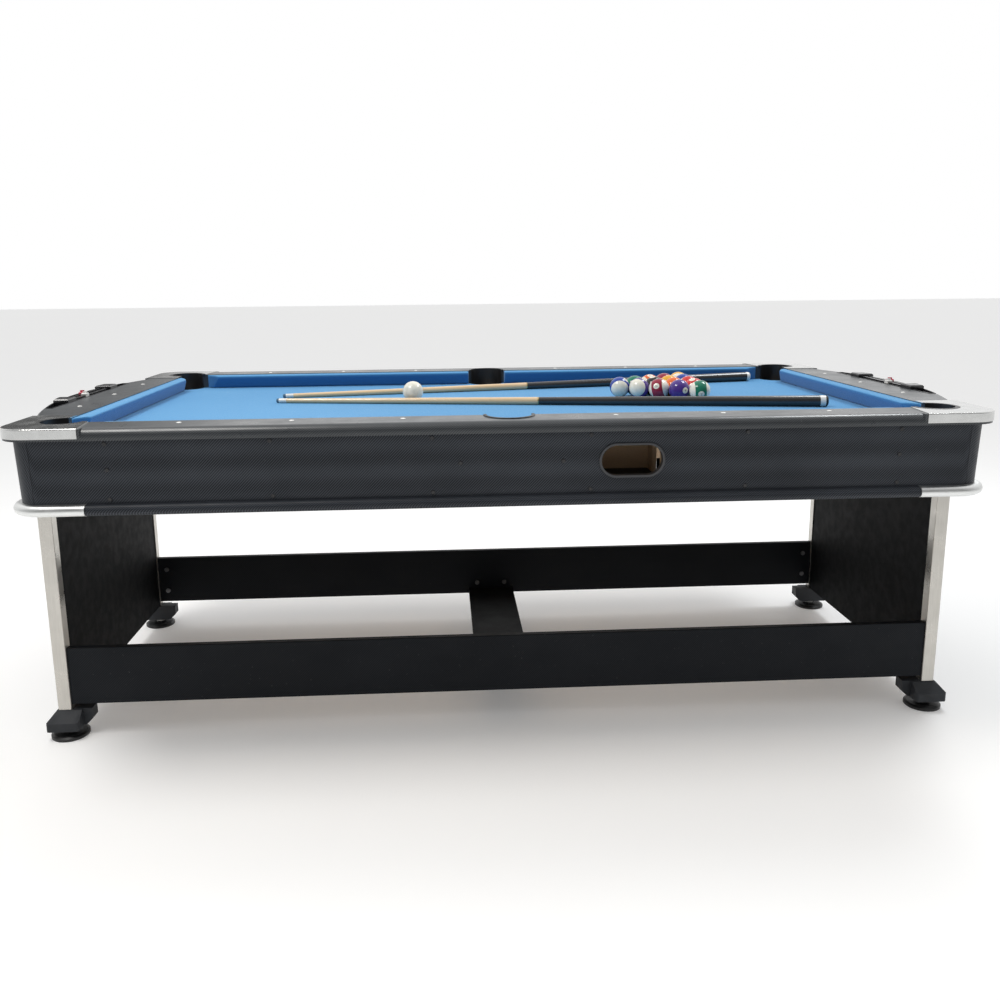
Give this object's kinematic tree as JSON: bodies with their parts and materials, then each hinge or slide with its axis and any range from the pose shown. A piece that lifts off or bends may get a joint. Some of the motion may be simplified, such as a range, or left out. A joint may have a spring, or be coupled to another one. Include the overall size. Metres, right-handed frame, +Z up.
{
  "type": "pool table",
  "caption": "Pool table on panel legs with bowed ends, blue cloth, drop pockets with a ball return, screw levellers and sliding scorers, set with balls and two cues.",
  "frame": {"origin": "on the floor under the middle of the table, levellers wound in", "axes": "+X along the table, +Y away from the ball window, +Z up"},
  "size_m": [2.2874, 1.2, 0.8074],
  "materials": {
    "rail_laminate": "grey carbon-weave foil over MDF, satin",
    "apron_laminate": "dark carbon-weave foil over MDF, satin",
    "stretcher_laminate": "black carbon-weave foil over MDF, satin",
    "panel_black": "black melamine over MDF, matt",
    "raw_mdf": "raw MDF",
    "bed_cloth": "woven billiard cloth, blue",
    "cushion_cloth": "woven billiard cloth over rubber, blue",
    "corner_chrome": "bright plated corner cap",
    "guard_silver": "satin silver",
    "post_aluminium": "brushed, warm satin",
    "pocket_plastic": "moulded black plastic",
    "bezel_plastic": "moulded dark grey plastic",
    "shoe_plastic": "moulded dark grey plastic, fine texture",
    "disc_plastic": "moulded black plastic",
    "stem_steel": "zinc-plated thread",
    "screw_black": "black oxide screw",
    "bolt_steel": "dark zinc bolt",
    "bracket_steel": "black painted steel",
    "sight_white": "white inlaid dot",
    "scorer_black": "moulded black plastic",
    "pointer_red": "bright red plastic",
    "pointer_white": "white plastic",
    "ball_ivory": "polished phenolic, off-white",
    "ball_colours": "polished phenolic, the fifteen pool colours",
    "cue_wood": "lacquered maple shaft, black butt"
  },
  "bodies": {
    "root": {"apron_back": "apron_laminate", "apron_front": "apron_laminate", "apron_left_end": "apron_laminate", "apron_right_end": "apron_laminate", "apron_screws": "screw_black", "ball_runs": "disc_plastic", "base_moulding": "apron_laminate", "bed_board": "raw_mdf", "bed_cloth": "bed_cloth", "cabinet_corner_posts": "apron_laminate", "cabinet_frame_boards": "raw_mdf", "corner_cap_back_left": "corner_chrome", "corner_cap_back_right": "corner_chrome", "corner_cap_front_left": "corner_chrome", "corner_cap_front_right": "corner_chrome", "corner_pocket_back_left": "pocket_plastic", "corner_pocket_back_right": "pocket_plastic", "corner_pocket_front_left": "pocket_plastic", "corner_pocket_front_right": "pocket_plastic", "cross_board": "stretcher_laminate", "cushion_back_left": "cushion_cloth", "cushion_back_right": "cushion_cloth", "cushion_front_left": "cushion_cloth", "cushion_front_right": "cushion_cloth", "cushion_left_end": "cushion_cloth", "cushion_right_end": "cushion_cloth", "end_panel_left": "panel_black", "end_panel_right": "panel_black", "foot_shoes": "shoe_plastic", "frame_bolts": "bolt_steel", "leg_brackets": "bracket_steel", "leg_posts": "post_aluminium", "moulding_corner_guards": "guard_silver", "rail_back": "rail_laminate", "rail_front": "rail_laminate", "rail_left_end": "rail_laminate", "rail_right_end": "rail_laminate", "rail_sights": "sight_white", "return_box": "raw_mdf", "scorer_left": "scorer_black", "scorer_right": "scorer_black", "side_pocket_liners": "pocket_plastic", "stretchers": "stretcher_laminate", "window_bezel": "bezel_plastic"},
    "disc_front_left": {"leveller_disc_front_left": "disc_plastic"},
    "stem_front_left": {"leveller_stem_front_left": "stem_steel"},
    "disc_front_right": {"leveller_disc_front_right": "disc_plastic"},
    "stem_front_right": {"leveller_stem_front_right": "stem_steel"},
    "disc_back_left": {"leveller_disc_back_left": "disc_plastic"},
    "stem_back_left": {"leveller_stem_back_left": "stem_steel"},
    "disc_back_right": {"leveller_disc_back_right": "disc_plastic"},
    "stem_back_right": {"leveller_stem_back_right": "stem_steel"},
    "pointer_red_right": {"pointer_red_right": "pointer_red"},
    "pointer_white_right": {"pointer_white_right": "pointer_white"},
    "pointer_red_left": {"pointer_red_left": "pointer_red"},
    "pointer_white_left": {"pointer_white_left": "pointer_white"},
    "cue_ball": {"cue_ball": "ball_ivory"},
    "rack_of_balls": {"racked_balls": "ball_colours"},
    "near_cue": {"cue_near": "cue_wood"},
    "far_cue": {"cue_far": "cue_wood"}
  },
  "joints": [
    {"name": "leveller_drop_front_left", "type": "slide", "parent": "root", "child": "disc_front_left", "axis": [0, 0, -1], "range_m": [0, 0.014]},
    {"name": "leveller_screw_front_left", "type": "hinge", "parent": "disc_front_left", "child": "stem_front_left", "pos_m": [-1.071, -0.362, 0.016], "axis": [0, 0, -1], "range_deg": [0, 2890]},
    {"name": "leveller_drop_front_right", "type": "slide", "parent": "root", "child": "disc_front_right", "axis": [0, 0, -1], "range_m": [0, 0.014]},
    {"name": "leveller_screw_front_right", "type": "hinge", "parent": "disc_front_right", "child": "stem_front_right", "pos_m": [1.071, -0.362, 0.016], "axis": [0, 0, -1], "range_deg": [0, 2890]},
    {"name": "leveller_drop_back_left", "type": "slide", "parent": "root", "child": "disc_back_left", "axis": [0, 0, -1], "range_m": [0, 0.014]},
    {"name": "leveller_screw_back_left", "type": "hinge", "parent": "disc_back_left", "child": "stem_back_left", "pos_m": [-1.071, 0.362, 0.016], "axis": [0, 0, -1], "range_deg": [0, 2890]},
    {"name": "leveller_drop_back_right", "type": "slide", "parent": "root", "child": "disc_back_right", "axis": [0, 0, -1], "range_m": [0, 0.014]},
    {"name": "leveller_screw_back_right", "type": "hinge", "parent": "disc_back_right", "child": "stem_back_right", "pos_m": [1.071, 0.362, 0.016], "axis": [0, 0, -1], "range_deg": [0, 2890]},
    {"name": "slide_red_right", "type": "slide", "parent": "root", "child": "pointer_red_right", "axis": [0, 1, 0], "range_m": [-0.106, 0.118]},
    {"name": "slide_white_right", "type": "slide", "parent": "root", "child": "pointer_white_right", "axis": [0, 1, 0], "range_m": [-0.077, 0.147]},
    {"name": "slide_red_left", "type": "slide", "parent": "root", "child": "pointer_red_left", "axis": [0, 1, 0], "range_m": [-0.106, 0.118]},
    {"name": "slide_white_left", "type": "slide", "parent": "root", "child": "pointer_white_left", "axis": [0, 1, 0], "range_m": [-0.077, 0.147]},
    {"name": "lift_cue_ball", "type": "slide", "parent": "root", "child": "cue_ball", "axis": [0, 0, 1], "range_m": [0, 0.25]},
    {"name": "lift_rack_of_balls", "type": "slide", "parent": "root", "child": "rack_of_balls", "axis": [0, 0, 1], "range_m": [0, 0.25]},
    {"name": "lift_near_cue", "type": "slide", "parent": "root", "child": "near_cue", "axis": [0, 0, 1], "range_m": [0, 0.25]},
    {"name": "lift_far_cue", "type": "slide", "parent": "root", "child": "far_cue", "axis": [0, 0, 1], "range_m": [0, 0.25]}
  ],
  "couplings": [
    {"joint": "leveller_screw_front_left", "follows": "leveller_drop_front_left", "rad_per_m": 3590.4},
    {"joint": "leveller_screw_front_right", "follows": "leveller_drop_front_right", "rad_per_m": 3590.4},
    {"joint": "leveller_screw_back_left", "follows": "leveller_drop_back_left", "rad_per_m": 3590.4},
    {"joint": "leveller_screw_back_right", "follows": "leveller_drop_back_right", "rad_per_m": 3590.4}
  ]
}
